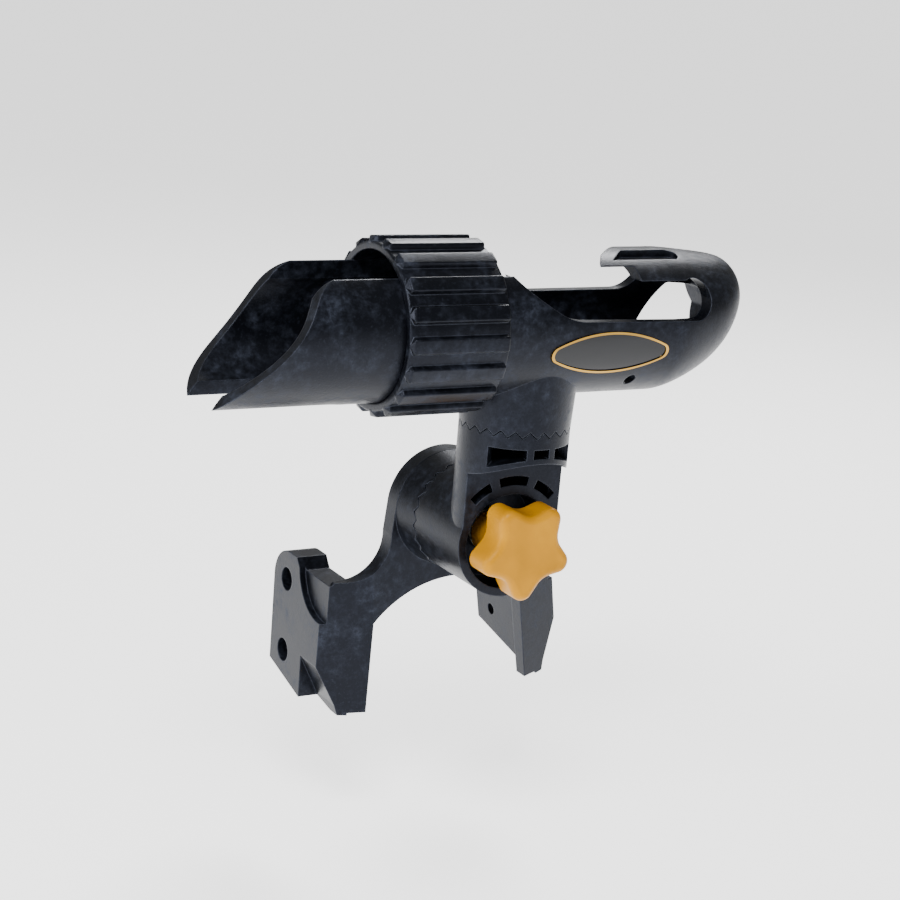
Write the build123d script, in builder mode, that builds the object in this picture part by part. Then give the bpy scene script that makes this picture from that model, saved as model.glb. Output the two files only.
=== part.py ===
from build123d import *
from math import cos, radians, sin
import os

os.makedirs("parts", exist_ok=True)

# Rod holder, millimetres. Origin on the tube's axis at the lock ring's front face.
# +X runs along the tube to the butt hook, +Y away from the knob, +Z up.

# tube, scoop and trough
tube_r = 30.1
tube_wall = 5.0
scoop_length = 71.0         # from the ring's front face to the prong tips
top_slot_half = 19.5
bottom_slot_half = 11.8
bottom_slot_end = -12.0
near_rim_z = 5.6            # height of the trough's open edges over the axis
far_rim_z = 7.6
slope_start_x = 51.6        # where the tube's roof slopes down to the trough
slope_end_x = 84.0

# closed nose and butt hook
nose_start = 128.0
arm_underside_z = tube_r - 4.8
arm_step_x = 111.5
arm_tip_x = 95.0
window_top_z = tube_r - 9.8
arm_floor = 1.3             # left under the arm's long recess
lanyard_x, lanyard_z, lanyard_r = 110.8, -20.8, 2.4

# lock ring
ring_length = 44.6
ring_fit = 0.3
ring_wall = 5.9             # from the tube to the ribs' crests
ring_rib_height = 2.3
ring_groove_half = 2.2      # half width of a groove at its floor and past its mouth
ring_mouth_half = 4.2
ring_front_slope = 1.2
ring_back_slope = 1.5
ring_ribs = 18
ring_gap_half = 26.0        # degrees
ring_gap_turn = 110.0       # degrees from the top slot to the gap while locked

# badge
badge_x, badge_z = 94.8, -7.4
badge_length, badge_height = 57.0, 18.0
badge_point = 3.6           # the tips' rounding takes this much off each end
badge_tip_r = 3.5
badge_rim = 1.0
badge_sink = 1.0
badge_proud = 0.8

# swivel post and tilt barrel
post_x = 70.7
post_r = 23.2
post_wall = 4.2
swivel_z = -tube_r - 12.3   # pitch plane of the swivel teeth
post_ceiling_z = swivel_z - 6.0
tilt_z = swivel_z - 50.5    # height of the tilt axis
barrel_r = 24.2
barrel_wall = 3.7
barrel_floor = 5.0
barrel_front_y = -4.0
tilt_y = 34.0               # pitch plane of the tilt teeth
recess_depth = 18.0
face_wall = 3.0             # the flat wall behind the finger room
knob_room_r = 38.5          # finger room cut out of the post round the knob
arch_wall = 2.2
spring_pocket_r = 9.3

# face teeth
teeth = 24
tooth_height = 2.6          # at the rim
tooth_gap = 0.45            # between the two pitch planes
tooth_inner_r = 13.0
tooth_relief = 0.3          # how far the middle lies below the valleys

# fasteners and their fits: M8 on the tilt axis, M6 on the swivel axis
run_fit = 0.06              # radial, on turning and sliding shafts
seat_gap = 0.05             # between flat faces that lie on each other
stud_r = 4.0
nut_flats = 13.0
nut_height = 6.5
washer_r = 9.0
washer_thick = 1.4
bush_r = 6.0
spring_r = 7.4              # mean radius of the coils
spring_wire_r = 0.8
spring_turns = 5
bolt_r = 3.0
bolt_end_z = swivel_z - 18.6
bolt_head_r = 5.0
bolt_head_height = 6.0
bolt_socket_flats = 5.0
bolt_washer_r = 6.2
bolt_washer_thick = 1.6
nut_plate_size = (20.0, 14.0)
nut_plate_thick = 3.4
nut_plate_sink = 1.0        # let into the post's ceiling
swivel_lift = 3.5           # lets the teeth clear each other

# knob
knob_lobes = 5
knob_point_r = 26.0         # corners of the star before rounding
knob_waist_r = 14.6
knob_tip_round = 5.0
knob_waist_round = 9.0
knob_back_y = -7.0
knob_thick = 14.0
knob_hub_r = 9.5
knob_turn = 52.0            # degrees, first lobe from +X
stud_end_y = -12.0

# bracket, leaning with its notch of the tilt teeth
base_lean = 5.2
web_front_y = 48.0
web_thick = 8.5
boss_back_r = barrel_r + 1.8
arch_r = 52.6
arch_drop = 85.4            # arch centre under the tilt axis
foot_drop = 90.0
flange_splay = 5.0
flange_half = 59.2          # half width over the flanges, flange_mid under the tilt axis
flange_mid = 43.0
flange_thick = 14.5
flange_back_y = 104.0
flange_top = 24.5
ear_drop = 29.5
flange_bottom = 79.0
pad_step = 3.0
screw_r = 2.75
screw_head_r = 5.3
screw_head_depth = 6.0
screw_y = 91.0
screw_drops = (37.5, 71.0)

tube_bore_r = tube_r - tube_wall
tooth_step = 360 / teeth
tooth_crest = tooth_height / 2
far = 60.0                  # a cut that runs clear of everything

swivel_axis_xy = (post_x, 0)
tilt_axis_xz = (post_x, tilt_z)
neck_plane = Plane(origin=(post_x, 0, swivel_z + tooth_gap / 2), x_dir=(1, 0, 0), z_dir=(0, 0, -1))
deck_plane = Plane(origin=(post_x, 0, swivel_z - tooth_gap / 2), x_dir=(1, 0, 0), z_dir=(0, 0, 1))
barrel_plane = Plane(origin=(post_x, tilt_y - tooth_gap / 2, tilt_z), x_dir=(1, 0, 0), z_dir=(0, 1, 0))
boss_plane = Plane(origin=(post_x, tilt_y + tooth_gap / 2, tilt_z), x_dir=(1, 0, 0), z_dir=(0, -1, 0))


def at_y(y):
    """Sketch plane across Y, drawn in X and Z; a positive extrude goes towards the knob."""
    return Plane.XZ.offset(-y)


def tooth_wedges(plane, turn, rim_r):
    """Wedges whose removal leaves radial teeth that stand to the pitch plane and beyond."""
    reach = rim_r * 1.25
    depth = tooth_crest * 1.25
    half = radians(tooth_step / 2)
    with BuildPart() as wedge:
        for share in (0.02, 1.0):
            side, drop = reach * share * sin(half), depth * share
            with BuildSketch(Plane.YZ.offset(reach * share * cos(half))):
                Polygon((0, -drop), (side, drop), (side, 5), (-side, 5), (-side, drop), align=None)
        loft(ruled=True)
    return [plane.location * (Rot(0, 0, turn + i * tooth_step) * wedge.part) for i in range(teeth)]


def cut_face_teeth(plane, turn, rim_r):
    """Radial teeth round a recessed middle, on the end face that the plane looks out of."""
    add(tooth_wedges(plane, turn, rim_r), mode=Mode.SUBTRACT)
    with BuildSketch(plane.offset(-tooth_crest - tooth_relief)) as middle:
        Circle(tooth_inner_r)
    extrude(middle.sketch, amount=10, mode=Mode.SUBTRACT)


# ------------------------------------------------------------------ rod cradle
scoop_rim = [(-24.5, 23.6), (-34.2, 18.0), (-40.0, 8.0), (-50.0, -5.5), (-62.0, -17.0), (-scoop_length, -28.0)]
# stations along the nose: x, radius and how far the centre has risen
nose_shell = [(nose_start, tube_r, 0), (138, tube_r - 1.1, 0.8), (148, tube_r - 3.7, 2.4),
              (158, tube_r - 7.5, 5.0), (165.5, tube_r - 12.5, 8.2), (170.5, tube_r - 18.1, 11.0)]
nose_hollow = [(nose_start, tube_bore_r, 0), (138, tube_bore_r - 1.7, 0.8), (146, tube_bore_r - 4.1, 2.2),
               (154, tube_bore_r - 7.9, 4.2), (162, tube_bore_r - 12.9, 6.8)]
nose_hollow_shift = 1.5     # the hollow ends nearer the far side, where the wall is thinner
nose_round = 10.5
cap_r = 9.0
cap_thick = 2.0
head_seat_z = -tube_r - 6.7
neck_top_z = -14.0
neck_flare = 1.6
roof_edge = (slope_start_x, tube_r - 6.7)      # the slope's first point
roof_reach = 2.6            # how far the cut runs on past it
trough_middle_x = 88.0


def trough_opening(y, rim_z, back):
    """Side outline of the open trough: down the roof's slope, along the rim, up the hook's inside."""
    with BuildSketch(at_y(y)) as outline:
        with BuildLine():
            Polyline((slope_start_x - roof_reach, far), (slope_start_x - roof_reach, tube_r - 3.1), roof_edge)
            Spline(roof_edge, (60.2, 15.6), (68.4, 10.2), (slope_end_x, rim_z),
                   tangents=((0.62, -0.78), (1, 0)))
            back(rim_z)
            Polyline((trough_middle_x, arm_underside_z), (trough_middle_x, far),
                     (slope_start_x - roof_reach, far))
        make_face()
    return outline.sketch


def near_back(rim_z):
    Line((slope_end_x, rim_z), (138, rim_z - 1))
    ThreePointArc((138, rim_z - 1), (145.4, 10.8), (134, window_top_z))
    Polyline((134, window_top_z), (arm_step_x, window_top_z), (arm_step_x, arm_underside_z),
             (trough_middle_x, arm_underside_z))


def far_back(rim_z):
    Line((slope_end_x, rim_z), (130, rim_z))
    ThreePointArc((130, rim_z), (137.2, 10.6), (139.8, 17.5))
    Polyline((139.8, 17.5), (140, arm_underside_z), (trough_middle_x, arm_underside_z))


def badge_block(shrink, low_r, high_r):
    """Long oval with blunt points, cut through a layer of the tube's near side between two radii."""
    half, rise = badge_length / 2 + badge_point - shrink * 1.5, badge_height / 2 - shrink
    front, back = (badge_x - half, badge_z), (badge_x + half, badge_z)
    with BuildPart() as block:
        with BuildSketch(at_y(-tube_r / 2)) as oval:
            with BuildLine():
                ThreePointArc(front, (badge_x, badge_z + rise), back)
                ThreePointArc(back, (badge_x, badge_z - rise), front)
            make_face()
            fillet(oval.vertices(), badge_tip_r - shrink / 2)
        extrude(amount=tube_r)
        with BuildSketch(Plane.YZ.offset(badge_x - badge_length)):
            Circle(high_r)
            Circle(low_r, mode=Mode.SUBTRACT)
        extrude(amount=2 * badge_length, mode=Mode.INTERSECT)
    return block.part


with BuildPart() as rod_cradle:
    with BuildSketch(Plane.YZ.offset(-scoop_length - 2)):
        Circle(tube_r)
    extrude(amount=nose_start + scoop_length + 2)
    for x, r, z in nose_shell:
        with BuildSketch(Plane.YZ.offset(x)):
            with Locations((0, z)):
                Circle(r)
    loft()
    fillet(rod_cradle.faces().sort_by(Axis.X)[-1].edges(), nose_round)
    # neck, flared into the tube's belly
    for z, r in ((swivel_z + tooth_gap / 2 - tooth_crest, post_r), (neck_top_z, post_r + neck_flare)):
        with BuildSketch(Plane.XY.offset(z)):
            with Locations(swivel_axis_xy):
                Circle(r)
    loft()
    # bore and the hollow of the nose
    with BuildSketch(Plane.YZ.offset(-scoop_length - 3)):
        Circle(tube_bore_r)
    extrude(amount=nose_start + scoop_length + 3, mode=Mode.SUBTRACT)
    for x, r, z in nose_hollow:
        with BuildSketch(Plane.YZ.offset(x)):
            with Locations((nose_hollow_shift * (x - nose_start) / (nose_hollow[-1][0] - nose_start), z)):
                Circle(r)
    loft(mode=Mode.SUBTRACT)
    # scoop, top slot and bottom slot
    with BuildSketch(at_y(0)):
        with BuildLine():
            Spline(*scoop_rim)
            Polyline(scoop_rim[-1], (-scoop_length - 1, -far), (-scoop_length - 12, -far),
                     (-scoop_length - 12, far), (-24.5, far), scoop_rim[0])
        make_face()
    extrude(amount=far, both=True, mode=Mode.SUBTRACT)
    with BuildSketch(Plane.XY):
        with Locations(((slope_start_x + 1 - scoop_length - 3) / 2, 0)):
            Rectangle(slope_start_x + 1 + scoop_length + 3, 2 * top_slot_half)
    extrude(amount=far, mode=Mode.SUBTRACT)
    slot_round_x = bottom_slot_end - bottom_slot_half
    with BuildSketch(Plane.XY):
        with Locations(((slot_round_x - scoop_length - 3) / 2, 0)):
            Rectangle(slot_round_x + scoop_length + 3, 2 * bottom_slot_half)
        with Locations((slot_round_x, 0)):
            Circle(bottom_slot_half)
    extrude(amount=-far, mode=Mode.SUBTRACT)
    # open trough, the near half first
    extrude(trough_opening(0, near_rim_z, near_back), amount=far, mode=Mode.SUBTRACT)
    extrude(trough_opening(-0.01, far_rim_z, far_back), amount=-far, mode=Mode.SUBTRACT)
    # the arm's slanted front edge and the long recess along its top
    with BuildSketch(Plane.XY.offset(arm_underside_z - 1)):
        with BuildLine():
            Polyline((49, -far), (arm_tip_x, -far), (arm_tip_x, -15.6), (arm_tip_x + 4, -9),
                     (arm_tip_x + 17, 3), (138, 24), (141, far), (49, far), (49, -far))
        make_face()
    extrude(amount=20, mode=Mode.SUBTRACT)
    with BuildSketch(Plane.XY.offset(arm_underside_z + arm_floor)):
        with BuildLine():
            Polyline((arm_tip_x + 38, -4.2), (arm_tip_x + 17, -4.2), (arm_tip_x + 8, -12.6),
                     (arm_tip_x + 38, -12.6))
            ThreePointArc((arm_tip_x + 38, -12.6), (arm_tip_x + 42.2, -8.4), (arm_tip_x + 38, -4.2))
        make_face()
    extrude(amount=20, mode=Mode.SUBTRACT)
    # window through the far side of the nose, and the lanyard hole
    with BuildSketch(at_y(0)) as far_window:
        Polygon((140, -9), (152.5, 11.5), (163, 11.5), (166, 3), (164, -6), (159, -9), align=None)
        fillet(far_window.vertices(), 2)
    extrude(amount=-far, mode=Mode.SUBTRACT)
    with BuildSketch(at_y(0)):
        with Locations((lanyard_x, lanyard_z)):
            Circle(lanyard_r)
    extrude(amount=far, both=True, mode=Mode.SUBTRACT)
    # seat of the swivel bolt, its cover's recess and its hole
    for depth_z, r in ((-tube_bore_r - cap_thick, cap_r), (head_seat_z, bolt_washer_r + 0.4)):
        with BuildSketch(Plane.XY.offset(depth_z)):
            with Locations(swivel_axis_xy):
                Circle(r)
        extrude(amount=-depth_z - 10, mode=Mode.SUBTRACT)
    with BuildSketch(Plane.XY.offset(-far)):
        with Locations(swivel_axis_xy):
            Circle(bolt_r + run_fit)
    extrude(amount=far - 10, mode=Mode.SUBTRACT)
    add(badge_block(0, tube_r - badge_sink, tube_r + 5), mode=Mode.SUBTRACT)
    cut_face_teeth(neck_plane, 0, post_r)


# ------------------------------------------------------------------ pieces on the cradle
ring_bore_r = tube_r + ring_fit
ring_crest_r = tube_r + ring_wall
ring_valley_r = ring_crest_r - ring_rib_height
first_groove = 11.0         # degrees from +Y

with BuildPart() as lock_ring:
    with BuildSketch(Plane.YZ):
        Circle(ring_crest_r)
        with PolarLocations(ring_valley_r, ring_ribs, start_angle=first_groove):
            Polygon((0, -ring_groove_half), (4, -ring_mouth_half), (4, ring_mouth_half), (0, ring_groove_half),
                    align=None, mode=Mode.SUBTRACT)
        Circle(ring_bore_r, mode=Mode.SUBTRACT)
        gap_reach = far * sin(radians(ring_gap_half)) / cos(radians(ring_gap_half))
        Polygon((0, 0), (far, -gap_reach), (far, gap_reach), align=None,
                rotation=90 - ring_gap_turn, mode=Mode.SUBTRACT)
    extrude(amount=ring_length)
    # sloped rib ends
    with BuildSketch(Plane.XZ):
        Polygon((-1, ring_valley_r), (0, ring_valley_r), (ring_front_slope, ring_crest_r + 0.1),
                (ring_front_slope, far), (-1, far), align=None)
        Polygon((ring_length + 1, ring_valley_r + 1), (ring_length, ring_valley_r + 1),
                (ring_length - ring_back_slope, ring_crest_r + 0.1), (ring_length - ring_back_slope, far),
                (ring_length + 1, far), align=None)
    revolve(axis=Axis.X, mode=Mode.SUBTRACT)

with BuildPart() as badge_bezel:
    add(badge_block(seat_gap, tube_r - badge_sink, tube_r + badge_proud))
    add(badge_block(badge_rim, tube_r - badge_sink - 1, tube_r + 5), mode=Mode.SUBTRACT)

with BuildPart() as badge_plate:
    add(badge_block(badge_rim + seat_gap, tube_r - badge_sink, tube_r + badge_proud - 0.5))

with BuildPart() as swivel_cap:
    with BuildSketch(Plane.XY.offset(-tube_bore_r - cap_thick)):
        with Locations(swivel_axis_xy):
            Circle(cap_r - seat_gap)
    extrude(amount=cap_thick)
    fillet(swivel_cap.edges().group_by(Axis.Z)[-1], 0.6)

bolt_head_z = head_seat_z + 2 * bolt_washer_thick

with BuildPart() as swivel_bolt:
    with BuildSketch(Plane.XY.offset(bolt_head_z)):
        with Locations(swivel_axis_xy):
            Circle(bolt_head_r)
    extrude(amount=bolt_head_height)
    fillet(swivel_bolt.edges().group_by(Axis.Z)[-1], 0.5)
    with BuildSketch(Plane.XY.offset(bolt_end_z)):
        with Locations(swivel_axis_xy):
            Circle(bolt_r)
    extrude(amount=bolt_head_z - bolt_end_z)
    chamfer(swivel_bolt.edges().group_by(Axis.Z)[0], 0.6)
    with BuildSketch(Plane.XY.offset(bolt_head_z + bolt_head_height / 2)):
        with Locations(swivel_axis_xy):
            RegularPolygon(bolt_socket_flats / 2, 6, major_radius=False)
    extrude(amount=bolt_head_height, mode=Mode.SUBTRACT)


def bolt_ring(low_z, thick, split):
    """Washer round the swivel bolt; the split one has a narrow slit."""
    with BuildPart() as washer:
        with BuildSketch(Plane.XY.offset(low_z)):
            with Locations(swivel_axis_xy):
                Circle(bolt_washer_r)
                Circle(bolt_r + run_fit, mode=Mode.SUBTRACT)
            if split:
                with Locations((post_x + bolt_washer_r, 0)):
                    Rectangle(2 * bolt_washer_r, 0.8, mode=Mode.SUBTRACT)
        extrude(amount=thick)
    return washer.part


with BuildPart() as swivel_washer:
    add(bolt_ring(head_seat_z, bolt_washer_thick, False))

with BuildPart() as swivel_spring_washer:
    add(bolt_ring(head_seat_z + bolt_washer_thick, bolt_washer_thick, True))


# ------------------------------------------------------------------ elbow
wall_back_y = barrel_front_y + face_wall
recess_floor_y = barrel_front_y + recess_depth
window_parts = ((0, 9), (36.75, 20.25), (-36.75, 20.25))       # middle and half angle from -Y
pocket_parts = ((0, 15), (35, 11), (-35, 11))                  # the same, from straight up
pocket_r = (barrel_r + 0.2, barrel_r + 4.1)

with BuildPart() as post_hollow:
    with BuildSketch(Plane.XY.offset(tilt_z)):
        with Locations(swivel_axis_xy):
            Circle(post_r - post_wall)
            for middle, half in window_parts:
                spread = post_r * 1.2 * sin(radians(half)) / cos(radians(half))
                Polygon((0, 0), (post_r * 1.2, -spread), (post_r * 1.2, spread), align=None,
                        rotation=middle - 90)
    extrude(amount=post_ceiling_z - tilt_z)
    for r, reach in ((knob_room_r + arch_wall, far), (barrel_r, -far)):
        with BuildSketch(at_y(wall_back_y)):
            with Locations(tilt_axis_xz):
                Circle(r)
        extrude(amount=reach, mode=Mode.SUBTRACT)
    # the nut plate's seat in the ceiling
    with BuildSketch(Plane.XY.offset(post_ceiling_z - nut_plate_sink / 2)):
        with Locations(swivel_axis_xy):
            Rectangle(nut_plate_size[0] + 2 * seat_gap, nut_plate_size[1] + 2 * seat_gap)
    extrude(amount=nut_plate_sink * 1.5)

# round openings on the tilt axis: front, radius and depth
barrel_cuts = [(barrel_front_y, knob_room_r, far), (barrel_front_y, barrel_r - barrel_wall, -recess_depth),
               (recess_floor_y + barrel_floor, spring_pocket_r, -far), (0, bush_r + run_fit, -far)]

with BuildPart() as elbow:
    with BuildSketch(Plane.XY.offset(tilt_z)):
        with Locations(swivel_axis_xy):
            Circle(post_r)
    extrude(amount=swivel_z - tooth_gap / 2 + tooth_crest - tilt_z)
    with BuildSketch(at_y(barrel_front_y)):
        with Locations(tilt_axis_xz):
            Circle(barrel_r)
    extrude(amount=-(tilt_y - tooth_gap / 2 + tooth_crest - barrel_front_y))
    for front_y, r, depth in barrel_cuts:
        with BuildSketch(at_y(front_y)):
            with Locations(tilt_axis_xz):
                Circle(r)
        extrude(amount=depth, mode=Mode.SUBTRACT)
    add(post_hollow.part, mode=Mode.SUBTRACT)
    # pockets in the flat wall, following the knob's recess
    with BuildSketch(at_y(barrel_front_y)):
        for middle, half in pocket_parts:
            with BuildLine():
                outer = CenterArc(tilt_axis_xz, pocket_r[1], 90 + middle - half, 2 * half)
                inner = CenterArc(tilt_axis_xz, pocket_r[0], 90 + middle - half, 2 * half)
                Line(outer @ 0, inner @ 0)
                Line(outer @ 1, inner @ 1)
            make_face()
    extrude(amount=-face_wall, mode=Mode.SUBTRACT)
    with BuildSketch(Plane.XY.offset(bolt_end_z - swivel_lift)):
        with Locations(swivel_axis_xy):
            Circle(bolt_r + run_fit)
    extrude(amount=far, mode=Mode.SUBTRACT)
    cut_face_teeth(deck_plane, tooth_step / 2, post_r)
    cut_face_teeth(barrel_plane, 0, barrel_r)

plate_top_z = post_ceiling_z + nut_plate_sink - seat_gap

with BuildPart() as swivel_nut:
    with BuildSketch(Plane.XY.offset(plate_top_z - nut_plate_thick)):
        with Locations(swivel_axis_xy):
            Rectangle(*nut_plate_size)
            Circle(bolt_r + run_fit, mode=Mode.SUBTRACT)
    extrude(amount=nut_plate_thick)

bush_flange_r = 8.6
bush_flange_thick = 1.6
bush_flange_y = recess_floor_y + barrel_floor + seat_gap


def tilt_disc(near_y, thick, r):
    """Disc round the tilt axis, thick towards the bracket, with the stud's bore."""
    with BuildPart() as disc:
        with BuildSketch(at_y(near_y)):
            with Locations(tilt_axis_xz):
                Circle(r)
                Circle(stud_r + run_fit, mode=Mode.SUBTRACT)
        extrude(amount=-thick)
    return disc.part


with BuildPart() as tilt_bush:
    add(tilt_disc(recess_floor_y, barrel_floor + seat_gap, bush_r))
    add(tilt_disc(bush_flange_y, bush_flange_thick, bush_flange_r))


# ------------------------------------------------------------------ knob
hub_end_y = recess_floor_y - 2 * (washer_thick + seat_gap) - seat_gap
insert_depth = hub_end_y + 6.0


def star_corner(i, r):
    """Corner number i of the knob's star, a half lobe apart, at a radius."""
    angle = radians(knob_turn + i * 180 / knob_lobes)
    return post_x + r * cos(angle), tilt_z + r * sin(angle)


star_corners = [star_corner(i, (knob_point_r, knob_waist_r)[i % 2]) for i in range(2 * knob_lobes)]

with BuildPart() as clamp_knob:
    with BuildSketch(at_y(knob_back_y)) as star:
        with BuildLine():
            Polyline(*star_corners, close=True)
        make_face()
        # the sketch's own coordinates, so the centre is the tilt axis in X and Z
        fillet(star.vertices().sort_by_distance((post_x, tilt_z))[knob_lobes:], knob_tip_round)
        fillet(star.vertices().sort_by_distance((post_x, tilt_z))[:knob_lobes], knob_waist_round)
    extrude(amount=knob_thick)
    fillet(clamp_knob.faces().sort_by(Axis.Y)[0].edges(), 3.2)
    fillet(clamp_knob.faces().sort_by(Axis.Y)[-1].edges(), 1.2)
    with BuildSketch(at_y(hub_end_y)):
        with Locations(tilt_axis_xz):
            Circle(knob_hub_r)
    extrude(amount=hub_end_y - knob_back_y)
    with BuildSketch(at_y(hub_end_y)):
        with Locations(tilt_axis_xz):
            RegularPolygon(nut_flats / 2, 6, major_radius=False)
    extrude(amount=insert_depth, mode=Mode.SUBTRACT)
    with BuildSketch(at_y(0)):
        with Locations(tilt_axis_xz):
            Circle(stud_r + 0.4)
    extrude(amount=-stud_end_y + 2, mode=Mode.SUBTRACT)

with BuildPart() as knob_insert:
    with BuildSketch(at_y(hub_end_y)):
        with Locations(tilt_axis_xz):
            RegularPolygon(nut_flats / 2, 6, major_radius=False)
            Circle(stud_r + run_fit, mode=Mode.SUBTRACT)
    extrude(amount=insert_depth)

with BuildPart() as knob_washer:
    add(tilt_disc(hub_end_y + seat_gap, washer_thick, washer_r))

with BuildPart() as knob_bearing:
    add(tilt_disc(hub_end_y + 2 * seat_gap + washer_thick, washer_thick, washer_r))


# ------------------------------------------------------------------ bracket
web_back_y = web_front_y + web_thick
boss_front_y = tilt_y + tooth_gap / 2 - tooth_crest
spring_seat_y = 43.0
nut_seat_y = 46.0
nut_recess_y = nut_seat_y + nut_height + 0.5
nut_recess_r = 11.0
base_frame = Plane(origin=(post_x, 0, tilt_z), x_dir=(cos(radians(base_lean)), 0, sin(radians(base_lean))),
                   z_dir=(-sin(radians(base_lean)), 0, cos(radians(base_lean))))


def leaned(plane):
    """A plane drawn as if the bracket stood upright with its tilt axis on Y."""
    return Plane(base_frame.location * plane.location)


arch_middle = (arch_r * sin(radians(22)), arch_r * cos(radians(22)) - arch_drop)
arch_end = (37.2, -48.2)
leg_outline = [arch_end, (41, -foot_drop), (50, -foot_drop), (54.5, -85), (60.5, -66), (57.5, -34),
               (53, -28.5), (48, -28.5)]

middle_plane = Plane(origin=base_frame.origin, z_dir=base_frame.x_dir)
splay = radians(flange_splay)
outer_face = leaned(Plane(origin=(flange_half, 0, -flange_mid), x_dir=(0, 1, 0),
                          z_dir=(cos(splay), 0, sin(splay))))
flange_front_y = web_front_y + 4
leg_back_y = web_back_y + 4
relief_y, relief_drop, relief_r = 58.0, 26.0, 21.0
rear_round_r, rear_corner_r = 14.0, 9.0
shoulder_y = 78.0
clear_x = 80.0              # outside both flanges
leg_slant = 16.0            # the legs' fronts fall back this much by then

with BuildPart() as flange:
    with BuildSketch(outer_face) as side_outline:
        with BuildLine():
            Polyline((flange_front_y, flange_mid - ear_drop), (shoulder_y, flange_mid - ear_drop),
                     (shoulder_y + 4, flange_mid - flange_top), (flange_back_y, flange_mid - flange_top),
                     (flange_back_y, flange_mid - flange_bottom), (leg_back_y, flange_mid - foot_drop),
                     (flange_front_y, flange_mid - foot_drop), (flange_front_y, flange_mid - ear_drop))
        make_face()
        # in the sketch's own coordinates, X runs back along the flange and Y up it
        rear = side_outline.vertices().group_by(Axis.X)[-1].sort_by(Axis.Y)
        fillet(rear[-1], rear_round_r)
        fillet(rear[0], rear_corner_r)
    extrude(amount=-flange_thick)

with BuildPart() as flange_cuts:
    # round step at the front top corner of the pad
    with BuildSketch(outer_face.offset(-pad_step)):
        with Locations((relief_y, flange_mid - relief_drop)):
            Circle(relief_r)
    extrude(amount=far)
    # the legs' front faces slant back towards the outside
    with BuildSketch(leaned(Plane.XY.offset(-foot_drop - 5))):
        Polygon((arch_end[0], 0), (clear_x, 0), (clear_x, web_front_y + leg_slant), (arch_end[0], web_front_y),
                align=None)
    extrude(amount=foot_drop - 15)
    # bevel along the foot's outside
    with BuildSketch(leaned(at_y(leg_back_y + 12))):
        Polygon((61.8, -66), (54, -86), (52, -foot_drop - 5), (clear_x, -foot_drop - 5), (clear_x, -66),
                align=None)
    extrude(amount=far)
    for drop in screw_drops:
        for sink, r in ((-far, screw_r), (-screw_head_depth, screw_head_r)):
            with BuildSketch(outer_face.offset(sink)):
                with Locations((screw_y, flange_mid - drop)):
                    Circle(r)
            extrude(amount=far + 10)

with BuildPart() as base_bracket:
    with BuildSketch(leaned(at_y(web_back_y))):
        with BuildLine():
            ThreePointArc((0, arch_r - arch_drop), arch_middle, arch_end)
            Polyline(*leg_outline)
            ThreePointArc(leg_outline[-1], (33.9, -22.6), (28, -8.5))
            Polyline((28, -8.5), (25.4, 5.5), (0, 5.5), (0, arch_r - arch_drop))
        make_face()
        mirror(about=Plane.YZ)
        Circle(boss_back_r)
    extrude(amount=web_thick)
    for y, r in ((boss_front_y, barrel_r), (web_front_y + 1, boss_back_r)):
        with BuildSketch(leaned(at_y(y))):
            Circle(r)
    loft()
    for tool, how in ((flange.part, Mode.ADD), (flange_cuts.part, Mode.SUBTRACT)):
        add(tool, mode=how)
        add(mirror(tool, about=middle_plane, mode=Mode.PRIVATE), mode=how)
    # room for the spring, the stud, its nut and the nut's cover
    with BuildSketch(leaned(at_y(spring_seat_y))):
        Circle(spring_pocket_r)
    extrude(amount=far, mode=Mode.SUBTRACT)
    with BuildSketch(leaned(at_y(nut_seat_y))):
        RegularPolygon(nut_flats / 2 + run_fit, 6, major_radius=False)
    extrude(amount=-far, mode=Mode.SUBTRACT)
    with BuildSketch(leaned(at_y(nut_recess_y))):
        Circle(nut_recess_r)
    extrude(amount=-far, mode=Mode.SUBTRACT)
    with BuildSketch(leaned(at_y(0))):
        Circle(stud_r + run_fit)
    extrude(amount=-far, mode=Mode.SUBTRACT)
    cut_face_teeth(boss_plane, tooth_step / 2, barrel_r)

with BuildPart() as clamp_stud:
    with BuildSketch(at_y(stud_end_y)):
        with Locations(tilt_axis_xz):
            Circle(stud_r)
    extrude(amount=stud_end_y - nut_seat_y - nut_height)
    chamfer(clamp_stud.edges(), 0.6)

with BuildPart() as base_nut:
    with BuildSketch(leaned(at_y(nut_seat_y))):
        RegularPolygon(nut_flats / 2, 6, major_radius=False)
        Circle(stud_r, mode=Mode.SUBTRACT)
    extrude(amount=-nut_height)

with BuildPart() as nut_cap:
    with BuildSketch(leaned(at_y(nut_recess_y))):
        Circle(nut_recess_r - seat_gap)
    extrude(amount=nut_recess_y - web_back_y)
    fillet(nut_cap.faces().sort_by(Axis.Y)[-1].edges(), 0.8)

# round wire along a helix, its ends closed against the bush and the boss
spring_start_y = bush_flange_y + bush_flange_thick + spring_wire_r + seat_gap
spring_length = spring_seat_y - seat_gap - spring_wire_r - spring_start_y

with BuildPart() as release_spring:
    with BuildLine() as coil:
        Helix(spring_length / spring_turns, spring_length, spring_r,
              center=(post_x, spring_start_y, tilt_z), direction=(0, 1, 0))
    with BuildSketch(Plane(origin=coil.line @ 0, z_dir=coil.line % 0)):
        Circle(spring_wire_r)
    sweep(is_frenet=True)

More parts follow.
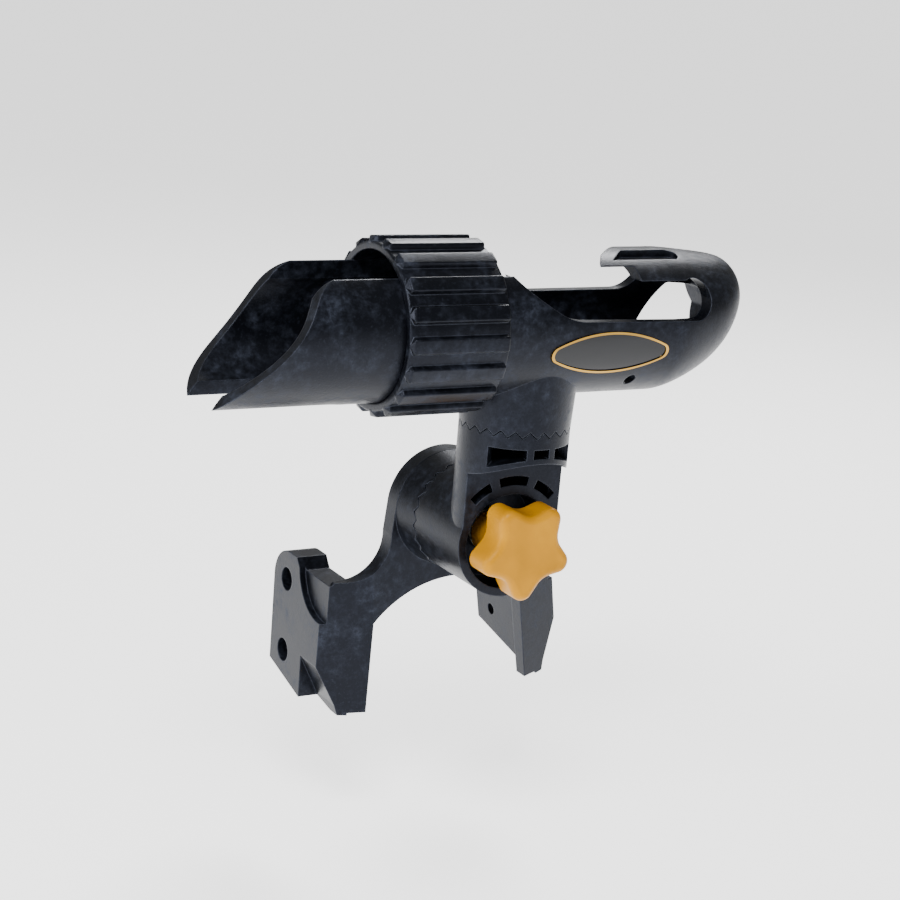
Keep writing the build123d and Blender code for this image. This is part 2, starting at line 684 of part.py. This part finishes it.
nodes = {
    "rod_cradle": rod_cradle, "lock_ring": lock_ring, "badge_bezel": badge_bezel, "badge_plate": badge_plate,
    "swivel_cap": swivel_cap, "swivel_bolt": swivel_bolt, "swivel_washer": swivel_washer,
    "swivel_spring_washer": swivel_spring_washer, "elbow": elbow, "swivel_nut": swivel_nut,
    "tilt_bush": tilt_bush, "clamp_knob": clamp_knob, "knob_insert": knob_insert,
    "knob_washer": knob_washer, "knob_bearing": knob_bearing, "base_bracket": base_bracket,
    "clamp_stud": clamp_stud, "base_nut": base_nut, "nut_cap": nut_cap, "release_spring": release_spring,
}
for name, node in nodes.items():
    node.part.label = name
    export_step(node.part, f"parts/{name}.step")
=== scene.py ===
import math
import bpy
from mathutils import Matrix, Vector


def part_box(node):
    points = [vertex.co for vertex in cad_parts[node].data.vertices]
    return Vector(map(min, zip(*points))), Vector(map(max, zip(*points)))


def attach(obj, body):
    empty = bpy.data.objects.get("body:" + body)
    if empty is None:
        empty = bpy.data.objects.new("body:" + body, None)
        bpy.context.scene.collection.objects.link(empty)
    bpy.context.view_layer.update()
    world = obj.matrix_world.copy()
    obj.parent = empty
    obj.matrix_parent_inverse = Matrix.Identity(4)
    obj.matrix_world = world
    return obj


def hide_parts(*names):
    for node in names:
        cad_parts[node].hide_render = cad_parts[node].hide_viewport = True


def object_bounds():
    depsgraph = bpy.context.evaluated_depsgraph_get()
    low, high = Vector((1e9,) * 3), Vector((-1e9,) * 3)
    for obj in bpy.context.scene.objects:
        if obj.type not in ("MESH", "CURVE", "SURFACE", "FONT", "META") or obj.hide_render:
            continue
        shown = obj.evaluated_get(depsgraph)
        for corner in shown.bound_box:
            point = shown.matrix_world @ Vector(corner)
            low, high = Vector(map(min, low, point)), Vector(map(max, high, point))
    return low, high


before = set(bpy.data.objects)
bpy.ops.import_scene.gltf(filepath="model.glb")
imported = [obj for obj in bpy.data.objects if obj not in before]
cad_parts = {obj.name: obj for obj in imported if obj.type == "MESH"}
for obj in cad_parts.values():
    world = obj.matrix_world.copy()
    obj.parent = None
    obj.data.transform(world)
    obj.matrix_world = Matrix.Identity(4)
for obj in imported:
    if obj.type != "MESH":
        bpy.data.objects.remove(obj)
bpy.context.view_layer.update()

print("frame loaded,", len(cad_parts), "nodes")


def hexColour(code):
    # sRGB hex to the linear values that shaders want
    channels = [int(code[i:i + 2], 16) / 255 for i in (1, 3, 5)]
    return [c / 12.92 if c <= 0.04045 else ((c + 0.055) / 1.055) ** 2.4 for c in channels] + [1.0]


def addNode(tree, kind, sockets=None, links=(), **settings):
    # sockets: input name or number to value; links: (own input, other node, its output)
    node = tree.nodes.new(kind)
    for name, value in settings.items():
        setattr(node, name, value)
    for name, value in (sockets or {}).items():
        node.inputs[name].default_value = value
    for own, other, output in links:
        tree.links.new(other.outputs[output], node.inputs[own])
    return node


def setRamp(node, stops):
    ramp = node.color_ramp
    while len(ramp.elements) < len(stops):
        ramp.elements.new(0.5)
    for element, (place, value) in zip(ramp.elements, stops):
        element.position = place
        element.color = value if isinstance(value, list) else [value, value, value, 1]


def newMaterial(name):
    material = bpy.data.materials.new(name)
    material.use_nodes = True
    material.node_tree.nodes.clear()
    return material, material.node_tree


def patternSpace(tree, offset=(0, 0, 0), turn=(0, 0, 0), stretch=(1, 1, 1)):
    # object coordinates, moved, turned or stretched for one piece
    place = addNode(tree, "ShaderNodeTexCoord")
    return addNode(tree, "ShaderNodeMapping", {"Location": offset, "Rotation": turn, "Scale": stretch},
                   [("Vector", place, "Object")])


def perMetre(sizeMm):
    return 1000 / sizeMm


# Glass-filled nylon 6, injection moulded: near-black, satin, with a cloudy bloom where the glass
# comes to the surface, fine spark-eroded grain, and paler edges: wear from rubbing plus a painted edge
# highlight.
mouldedNylon = {
    "deep": "#050609",
    "bloom": "#2A2E38",
    "rubbedAndHighlit": "#5A5F6C",
    "cloudMm": 19,
    "mottleMm": 3.4,
    "fleckMm": 1.1,           # glass flecks are finer, drawn this coarse so that they show
    "grainMm": 0.55,
    "scratchMm": 2.2,
    "edgeMm": 0.7,
    "roughLow": 0.33,
    "roughHigh": 0.55,
    "bumpMm": 0.16,
}


def glassFilledNylon(name, offset=(0, 0, 0), flow=(0, 0, 0), gloss=0.0, bloom=1.0):
    material, tree = newMaterial(name)
    space = patternSpace(tree, offset, flow)
    cloud = addNode(tree, "ShaderNodeTexNoise", {"Scale": perMetre(mouldedNylon["cloudMm"]), "Detail": 6,
                    "Roughness": 0.6, "Distortion": 0.6}, [("Vector", space, "Vector")])
    mottle = addNode(tree, "ShaderNodeTexNoise", {"Scale": perMetre(mouldedNylon["mottleMm"]), "Detail": 8,
                     "Roughness": 0.72}, [("Vector", space, "Vector")])
    fleck = addNode(tree, "ShaderNodeTexNoise", {"Scale": perMetre(mouldedNylon["fleckMm"]), "Detail": 2},
                    [("Vector", space, "Vector")])
    both = addNode(tree, "ShaderNodeMath", operation="MULTIPLY",
                   links=[(0, cloud, "Fac"), (1, mottle, "Fac")])
    patches = addNode(tree, "ShaderNodeValToRGB", links=[("Fac", both, 0)])
    setRamp(patches, [(0.22, 0.0), (0.30, 0.3), (0.40, 1.0)])
    flecks = addNode(tree, "ShaderNodeValToRGB", links=[("Fac", fleck, "Fac")])
    setRamp(flecks, [(0.60, 0.0), (0.74, 1.0)])
    flecked = addNode(tree, "ShaderNodeMath", {1: 0.35}, [(0, flecks, "Color")], operation="MULTIPLY")
    cover = addNode(tree, "ShaderNodeMath", links=[(0, patches, "Color"), (1, flecked, 0)],
                    operation="MAXIMUM")
    covered = addNode(tree, "ShaderNodeMath", {1: 0.75 * bloom}, [(0, cover, 0)], operation="MULTIPLY")
    body = addNode(tree, "ShaderNodeMix",
                   {6: hexColour(mouldedNylon["deep"]), 7: hexColour(mouldedNylon["bloom"])},
                   [(0, covered, 0)], data_type="RGBA")
    # edges paler where the corners are rounded: a painted edge highlight, mixed with wear from rubbing
    rounded = addNode(tree, "ShaderNodeBevel", {"Radius": mouldedNylon["edgeMm"] / 1000}, samples=6)
    surface = addNode(tree, "ShaderNodeNewGeometry")
    turned = addNode(tree, "ShaderNodeVectorMath", operation="DOT_PRODUCT",
                     links=[(0, rounded, "Normal"), (1, surface, "Normal")])
    edge = addNode(tree, "ShaderNodeMapRange", {"From Min": 0.985, "From Max": 0.86, "To Max": 0.55},
                   [("Value", turned, "Value")])
    wornAndHighlitEdge = addNode(tree, "ShaderNodeMath", operation="MULTIPLY",
                   links=[(0, edge, "Result"), (1, mottle, "Fac")])
    # the paler edge colour is a painted highlight as well as rubbing wear
    colour = addNode(tree, "ShaderNodeMix", {7: hexColour(mouldedNylon["rubbedAndHighlit"])},
                     [(0, wornAndHighlitEdge, 0), (6, body, 2)], data_type="RGBA")
    # satin: smoother in the dark resin-rich patches
    rough = addNode(tree, "ShaderNodeMapRange", {"To Min": mouldedNylon["roughLow"] - gloss,
                    "To Max": mouldedNylon["roughHigh"] - gloss}, [("Value", cover, 0)])
    scuffs = addNode(tree, "ShaderNodeTexNoise", {"Scale": perMetre(mouldedNylon["scratchMm"]), "Detail": 3,
                     "Roughness": 0.8}, [("Vector", space, "Vector")])
    grain = addNode(tree, "ShaderNodeTexNoise", {"Scale": perMetre(mouldedNylon["grainMm"]), "Detail": 2},
                    [("Vector", space, "Vector")])
    height = addNode(tree, "ShaderNodeMath", operation="ADD", links=[(0, grain, "Fac"), (1, scuffs, "Fac")])
    bump = addNode(tree, "ShaderNodeBump", {"Strength": 0.3, "Distance": mouldedNylon["bumpMm"] / 1000},
                   [("Height", height, 0), ("Normal", rounded, "Normal")])
    shader = addNode(tree, "ShaderNodeBsdfPrincipled", {"IOR": 1.53, "Specular IOR Level": 0.17,
                     "Specular Tint": hexColour("#DCE4FF")},
                     [("Base Color", colour, 2), ("Roughness", rough, "Result"), ("Normal", bump, "Normal")])
    addNode(tree, "ShaderNodeOutputMaterial", links=[("Surface", shader, "BSDF")])
    return material


# Unfilled nylon coloured through, moulded and lightly polished: yellow-orange, waxy.
knobNylon = {"face": "#B47A00", "deep": "#A67000", "pale": "#C08604", "cloudMm": 14, "grainMm": 0.5}


def yellowNylon(name, centre):
    material, tree = newMaterial(name)
    space = patternSpace(tree, [-c for c in centre])
    cloud = addNode(tree, "ShaderNodeTexNoise", {"Scale": perMetre(knobNylon["cloudMm"]), "Detail": 4},
                    [("Vector", space, "Vector")])
    tint = addNode(tree, "ShaderNodeValToRGB", links=[("Fac", cloud, "Fac")])
    setRamp(tint, [(0.3, hexColour(knobNylon["deep"])), (0.55, hexColour(knobNylon["face"])),
                   (0.8, hexColour(knobNylon["pale"]))])
    grain = addNode(tree, "ShaderNodeTexNoise", {"Scale": perMetre(knobNylon["grainMm"]), "Detail": 2},
                    [("Vector", space, "Vector")])
    rough = addNode(tree, "ShaderNodeMapRange", {"To Min": 0.34, "To Max": 0.46}, [("Value", cloud, "Fac")])
    bump = addNode(tree, "ShaderNodeBump", {"Strength": 0.12, "Distance": 0.0001}, [("Height", grain, "Fac")])
    shader = addNode(tree, "ShaderNodeBsdfPrincipled",
                     {"IOR": 1.53, "Specular IOR Level": 0.22, "Specular Tint": hexColour("#FFE9B8")},
                     [("Base Color", tint, "Color"), ("Roughness", rough, "Result"),
                      ("Normal", bump, "Normal")])
    addNode(tree, "ShaderNodeOutputMaterial", links=[("Surface", shader, "BSDF")])
    return material


def metal(name, paleHex, darkHex, roughLow, roughHigh, brushMm, stretch, centre=(0, 0, 0), bumpStrength=0.1):
    # drawn, turned or brushed metal: fine lines along the tool's path, smudged a little
    material, tree = newMaterial(name)
    space = patternSpace(tree, [-c for c in centre], stretch=stretch)
    lines = addNode(tree, "ShaderNodeTexNoise", {"Scale": perMetre(brushMm), "Detail": 5, "Roughness": 0.7},
                    [("Vector", space, "Vector")])
    smudge = addNode(tree, "ShaderNodeTexNoise", {"Scale": perMetre(9), "Detail": 3},
                     [("Vector", space, "Vector")])
    tint = addNode(tree, "ShaderNodeMix", {6: hexColour(paleHex), 7: hexColour(darkHex)},
                   [(0, smudge, "Fac")], data_type="RGBA")
    rough = addNode(tree, "ShaderNodeMapRange", {"To Min": roughLow, "To Max": roughHigh},
                    [("Value", lines, "Fac")])
    bump = addNode(tree, "ShaderNodeBump", {"Strength": bumpStrength, "Distance": 0.00005},
                   [("Height", lines, "Fac")])
    shader = addNode(tree, "ShaderNodeBsdfPrincipled", {"Metallic": 1.0},
                     [("Base Color", tint, 2), ("Roughness", rough, "Result"), ("Normal", bump, "Normal")])
    addNode(tree, "ShaderNodeOutputMaterial", links=[("Surface", shader, "BSDF")])
    return material


# Printed face under a clear domed resin: dark grey, glossy, with faint streaks in the print.
def domedLabel(name, centre):
    material, tree = newMaterial(name)
    space = patternSpace(tree, [-c for c in centre], stretch=(0.25, 1, 1))
    streaks = addNode(tree, "ShaderNodeTexNoise", {"Scale": perMetre(4), "Detail": 4},
                      [("Vector", space, "Vector")])
    tint = addNode(tree, "ShaderNodeMix", {6: hexColour("#0B0C0F"), 7: hexColour("#16171B")},
                   [(0, streaks, "Fac")], data_type="RGBA")
    rough = addNode(tree, "ShaderNodeMapRange", {"To Min": 0.12, "To Max": 0.22}, [("Value", streaks, "Fac")])
    bump = addNode(tree, "ShaderNodeBump", {"Strength": 0.04, "Distance": 0.0002},
                   [("Height", streaks, "Fac")])
    shader = addNode(tree, "ShaderNodeBsdfPrincipled",
                     {"IOR": 1.5, "Specular IOR Level": 0.2, "Coat Weight": 0.25, "Coat Roughness": 0.06},
                     [("Base Color", tint, 2), ("Roughness", rough, "Result"), ("Normal", bump, "Normal")])
    addNode(tree, "ShaderNodeOutputMaterial", links=[("Surface", shader, "BSDF")])
    return material


# Natural nylon 66, turned from rod: milky, satin, with faint tool rings.
def naturalNylon(name, centre):
    material, tree = newMaterial(name)
    space = patternSpace(tree, [-c for c in centre])
    rings = addNode(tree, "ShaderNodeTexWave", {"Scale": 400, "Distortion": 1.5, "Detail": 2},
                    [("Vector", space, "Vector")], wave_type="RINGS", rings_direction="Y")
    tint = addNode(tree, "ShaderNodeMix", {6: hexColour("#D9D5C6"), 7: hexColour("#C9C4B2")},
                   [(0, rings, "Fac")], data_type="RGBA")
    rough = addNode(tree, "ShaderNodeMapRange", {"To Min": 0.4, "To Max": 0.55}, [("Value", rings, "Fac")])
    bump = addNode(tree, "ShaderNodeBump", {"Strength": 0.1, "Distance": 0.00005}, [("Height", rings, "Fac")])
    shader = addNode(tree, "ShaderNodeBsdfPrincipled", {"IOR": 1.53},
                     [("Base Color", tint, 2), ("Roughness", rough, "Result"), ("Normal", bump, "Normal")])
    addNode(tree, "ShaderNodeOutputMaterial", links=[("Surface", shader, "BSDF")])
    return material


def middle(nodeName):
    low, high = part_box(nodeName)
    return (low + high) / 2


def paint(material, *nodeNames):
    for nodeName in nodeNames:
        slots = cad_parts[nodeName].data.materials
        if len(slots):
            slots[0] = material
        else:
            slots.append(material)


knobCentre = middle("clamp_knob")
paint(glassFilledNylon("cradle glass-filled nylon"), "rod_cradle")
paint(glassFilledNylon("elbow glass-filled nylon", offset=(0.7, 0.2, 0.5), bloom=0.8), "elbow")
paint(glassFilledNylon("bracket glass-filled nylon", offset=(0.5, 0.9, 0.1), bloom=1.1), "base_bracket")
paint(glassFilledNylon("plug glass-filled nylon", offset=(0.2, 0.4, 0.9)), "swivel_cap", "nut_cap")
paint(yellowNylon("knob moulded yellow nylon", knobCentre), "clamp_knob")
paint(metal("badge rim gilt brass", "#C9A052", "#7A5A24", 0.12, 0.24, 0.6, (0.2, 1, 1),
            middle("badge_bezel")), "badge_bezel")
paint(domedLabel("badge face domed resin", middle("badge_plate")), "badge_plate")
paint(metal("swivel bolt drawn stainless", "#C3C4C6", "#9B9DA0", 0.22, 0.38, 0.5, (1, 1, 0.1),
            middle("swivel_bolt")), "swivel_bolt", "swivel_washer", "swivel_spring_washer")
paint(metal("clamp stud drawn stainless", "#C3C4C6", "#9B9DA0", 0.22, 0.38, 0.5, (1, 0.1, 1),
            middle("clamp_stud")), "clamp_stud", "base_nut", "knob_washer")
paint(metal("release spring wire", "#B9BABD", "#8D8F93", 0.2, 0.34, 0.3, (1, 1, 1), middle("release_spring")),
      "release_spring")
# near-black nut plate: its dark colour is painted shade for the windows that it shows through
paint(metal("nut plate dark as painted window shade", "#1B1C1E", "#0F1012", 0.4, 0.6, 0.8, (1, 1, 1), middle("swivel_nut")),
      "swivel_nut")
paint(metal("knob insert turned brass", "#C9A961", "#9C7C3C", 0.25, 0.4, 0.4, (1, 0.2, 1),
            middle("knob_insert")), "knob_insert")
paint(naturalNylon("bearing natural nylon", middle("tilt_bush")), "tilt_bush", "knob_bearing")
print("materials made and painted")

# Lock ring: an open sleeve with rounded ribs, its gap turned to the far side while locked.
ringLow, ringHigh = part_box("lock_ring")
lockRing = {
    "Length": ringHigh.x - ringLow.x,
    "Crest radius": (ringHigh.z - ringLow.z) / 2 - 0.00012,      # flat crests stay inside the round ones
    "Rib height": 0.0023,
    "Wall": 0.0033,
    "Rib foot": 0.0076,
    "Rib crown": 0.0058,
    "Rib depth in wall": 0.0006,
    "End slope": 0.0017,
    "Edge rounding": 0.0007,
    "Ribs": 15,
    "Rib pitch": math.radians(20),
    "First rib": math.radians(21),      # from +Y towards +Z
    "Sleeve start": math.radians(6),
    "Sleeve sweep": math.radians(308),
}


def ribbedRingTree(sizesByName, finish):
    tree = bpy.data.node_groups.new("ribbed ring", "GeometryNodeTree")
    tree.interface.new_socket("Geometry", in_out="INPUT", socket_type="NodeSocketGeometry")
    for label, value in sizesByName.items():
        kind = "NodeSocketInt" if isinstance(value, int) else "NodeSocketFloat"
        tree.interface.new_socket(label, in_out="INPUT", socket_type=kind)
    tree.interface.new_socket("Geometry", in_out="OUTPUT", socket_type="NodeSocketGeometry")
    given = addNode(tree, "NodeGroupInput")

    def combined(kind, first, second):
        # one sum, difference or product of two outputs
        return addNode(tree, "ShaderNodeMath", links=[(0, *first), (1, *second)], operation=kind)

    def halved(node, output):
        return addNode(tree, "ShaderNodeMath", {1: 0.5}, [(0, node, output)], operation="MULTIPLY")

    valley = combined("SUBTRACT", (given, "Crest radius"), (given, "Rib height"))
    halfWall = halved(given, "Wall")
    middleRadius = combined("SUBTRACT", (valley, 0), (halfWall, 0))
    halfLength = halved(given, "Length")
    # the sleeve: a rounded oblong carried round an open arc
    arc = addNode(tree, "GeometryNodeCurveArc", {"Resolution": 260}, [("Radius", middleRadius, 0),
                  ("Start Angle", given, "Sleeve start"), ("Sweep Angle", given, "Sleeve sweep")])
    oblong = addNode(tree, "GeometryNodeCurvePrimitiveQuadrilateral",
                     links=[("Width", given, "Wall"), ("Height", given, "Length")])
    softOblong = addNode(tree, "GeometryNodeFilletCurve", {"Count": 4}, [("Curve", oblong, "Curve"),
                         ("Radius", given, "Edge rounding")], mode="POLY")
    sleeve = addNode(tree, "GeometryNodeCurveToMesh", {"Fill Caps": True},
                     [("Curve", arc, "Curve"), ("Profile Curve", softOblong, "Curve")])
    lift = addNode(tree, "ShaderNodeCombineXYZ", links=[("Z", halfLength, 0)])
    placedSleeve = addNode(tree, "GeometryNodeTransform", links=[("Geometry", sleeve, "Mesh"),
                           ("Translation", lift, "Vector")])
    # one rib: a rounded wedge along the sleeve, lower at both ends
    ribSide = combined("ADD", (given, "Rib height"), (given, "Rib depth in wall"))
    wedge = addNode(tree, "GeometryNodeCurvePrimitiveQuadrilateral", {"Offset": 0.0}, [("Height", ribSide, 0),
                    ("Bottom Width", given, "Rib foot"), ("Top Width", given, "Rib crown")], mode="TRAPEZOID")
    halfSide = halved(ribSide, 0)
    raised = addNode(tree, "ShaderNodeCombineXYZ", links=[("Y", halfSide, 0)])
    standing = addNode(tree, "GeometryNodeTransform", links=[("Geometry", wedge, "Curve"),
                       ("Translation", raised, "Vector")])
    outward = addNode(tree, "GeometryNodeTransform", {"Rotation": (0, 0, -math.pi / 2)},
                      [("Geometry", standing, "Geometry")])
    softWedge = addNode(tree, "GeometryNodeFilletCurve", {"Count": 5}, [("Curve", outward, "Geometry"),
                        ("Radius", given, "Edge rounding")], mode="POLY")
    railEnd = addNode(tree, "ShaderNodeCombineXYZ", links=[("Z", given, "Length")])
    rail = addNode(tree, "GeometryNodeCurvePrimitiveLine", links=[("End", railEnd, "Vector")])
    fineRail = addNode(tree, "GeometryNodeResampleCurve", {"Count": 100}, [("Curve", rail, "Curve")])
    along = addNode(tree, "GeometryNodeSplineParameter")
    toEnd = combined("SUBTRACT", (given, "Length"), (along, "Length"))
    nearest = combined("MINIMUM", (along, "Length"), (toEnd, 0))
    swell = addNode(tree, "ShaderNodeMapRange", {"From Min": -0.0002, "To Min": 0.2, "To Max": 1.0},
                    [("Value", nearest, 0), ("From Max", given, "End slope")],
                    interpolation_type="SMOOTHSTEP")
    taperedRail = addNode(tree, "GeometryNodeSetCurveRadius", links=[("Curve", fineRail, "Curve"),
                          ("Radius", swell, "Result")])
    rib = addNode(tree, "GeometryNodeCurveToMesh", {"Fill Caps": True},
                  [("Curve", taperedRail, "Curve"), ("Profile Curve", softWedge, "Curve")])
    if "Scale" in rib.inputs:       # newer Blenders take the taper here
        tree.links.new(swell.outputs["Result"], rib.inputs["Scale"])
    footRadius = combined("SUBTRACT", (valley, 0), (given, "Rib depth in wall"))
    out = addNode(tree, "ShaderNodeCombineXYZ", links=[("X", footRadius, 0)])
    placedRib = addNode(tree, "GeometryNodeTransform", links=[("Geometry", rib, "Mesh"),
                        ("Translation", out, "Vector")])
    # the ribs, turned round the ring's axis from one set of points
    points = addNode(tree, "GeometryNodeMeshLine", {"Offset": (0, 0, 0)}, [("Count", given, "Ribs")])
    index = addNode(tree, "GeometryNodeInputIndex")
    steps = combined("MULTIPLY", (index, "Index"), (given, "Rib pitch"))
    angle = combined("ADD", (steps, 0), (given, "First rib"))
    turn = addNode(tree, "ShaderNodeCombineXYZ", links=[("Z", angle, 0)])
    ribs = addNode(tree, "GeometryNodeInstanceOnPoints", links=[("Points", points, "Mesh"),
                   ("Instance", placedRib, "Geometry"), ("Rotation", turn, "Vector")])
    joined = addNode(tree, "GeometryNodeJoinGeometry")
    tree.links.new(ribs.outputs["Instances"], joined.inputs[0])
    tree.links.new(placedSleeve.outputs["Geometry"], joined.inputs[0])
    # drawn round +Z, so laid over onto the tube's axis
    laid = addNode(tree, "GeometryNodeTransform", {"Rotation": (math.pi / 2, 0, math.pi / 2)},
                   [("Geometry", joined, "Geometry")])
    real = addNode(tree, "GeometryNodeRealizeInstances", links=[("Geometry", laid, "Geometry")])
    smooth = addNode(tree, "GeometryNodeSetShadeSmooth", links=[("Geometry", real, "Geometry")])
    painted = addNode(tree, "GeometryNodeSetMaterial", {"Material": finish},
                      [("Geometry", smooth, "Geometry")])
    addNode(tree, "NodeGroupOutput", links=[("Geometry", painted, "Geometry")])
    return tree


def grownPiece(name, tree, inputs):
    # runs the tree on an empty mesh and keeps the plain result
    seed = bpy.data.objects.new(name + " seed", bpy.data.meshes.new(name + " seed"))
    bpy.context.scene.collection.objects.link(seed)
    modifier = seed.modifiers.new("grow", "NODES")
    modifier.node_group = tree
    for socket in tree.interface.items_tree:
        if socket.item_type == "SOCKET" and socket.in_out == "INPUT" and socket.name in inputs:
            modifier[socket.identifier] = inputs[socket.name]
    shape = bpy.data.meshes.new_from_object(seed.evaluated_get(bpy.context.evaluated_depsgraph_get()))
    seed.modifiers.clear()
    bpy.data.objects.remove(seed)
    shape.name = name
    piece = bpy.data.objects.new(name, shape)
    bpy.context.scene.collection.objects.link(piece)
    return piece


ringNylon = glassFilledNylon("ring glass-filled nylon", offset=(0.3, 0.1, 0.2), gloss=0.03)
ribbedRing = grownPiece("ribbed_lock_ring", ribbedRingTree(lockRing, ringNylon), lockRing)
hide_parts("lock_ring")
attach(ribbedRing, "ring")
print("lock ring grown,", len(ribbedRing.data.polygons), "faces")

# floor, light and camera
low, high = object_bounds()
stage = {
    "floorSpan": 60.0,
    "floorDrop": 0.06,        # the floor lies this far under the feet
    "floorGlow": 1.35,
    "worldGlow": 0.35,
}
bpy.ops.mesh.primitive_plane_add(size=stage["floorSpan"], location=(0, 0, low.z - stage["floorDrop"]))
floor = bpy.context.object
floor.name = "floor"
floorPaint, tree = newMaterial("pale floor")
shade = addNode(tree, "ShaderNodeBsdfPrincipled", {"Base Color": hexColour("#FAFAFA"), "Roughness": 0.95,
                "Specular IOR Level": 0.0, "Emission Color": hexColour("#FFFFFF"),
                "Emission Strength": stage["floorGlow"]})
addNode(tree, "ShaderNodeOutputMaterial", links=[("Surface", shade, "BSDF")])
floor.data.materials.append(floorPaint)

world = bpy.data.worlds.new("soft studio")
bpy.context.scene.world = world
world.use_nodes = True
world.node_tree.nodes["Background"].inputs["Color"].default_value = hexColour("#FFFFFF")
world.node_tree.nodes["Background"].inputs["Strength"].default_value = stage["worldGlow"]

centre = (low + high) / 2


def softBox(name, place, size, watts):
    data = bpy.data.lights.new(name, "AREA")
    data.shape = "RECTANGLE"
    data.size, data.size_y = size
    data.energy = watts
    lamp = bpy.data.objects.new(name, data)
    bpy.context.scene.collection.objects.link(lamp)
    lamp.location = centre + Vector(place)
    lamp.rotation_euler = (-Vector(place)).to_track_quat("-Z", "Y").to_euler()
    return lamp


softBox("key", (-0.55, -0.85, 1.1), (0.45, 0.35), 22)
softBox("side", (-1.1, -0.1, 0.35), (0.25, 0.7), 10)
softBox("rim", (0.7, 0.7, 0.9), (0.6, 0.35), 16)

view = {
    "place": (-0.3852, -0.7240, 0.1679),
    "right": (0.8695, -0.4873, 0.0805),
    "up": (0.0567, 0.2603, 0.9639),
    "back": (-0.4906, -0.8335, 0.2540),
    "sensorMm": 36,
    "lensMm": 85.17,
}
camera = bpy.data.objects.new("camera", bpy.data.cameras.new("camera"))
bpy.context.scene.collection.objects.link(camera)
aim = Matrix((view["right"], view["up"], view["back"])).transposed()
camera.matrix_world = Matrix.Translation(view["place"]) @ aim.to_4x4()
camera.data.sensor_width = view["sensorMm"]
camera.data.lens = view["lensMm"]
bpy.context.scene.camera = camera
print("floor, lights and camera placed")
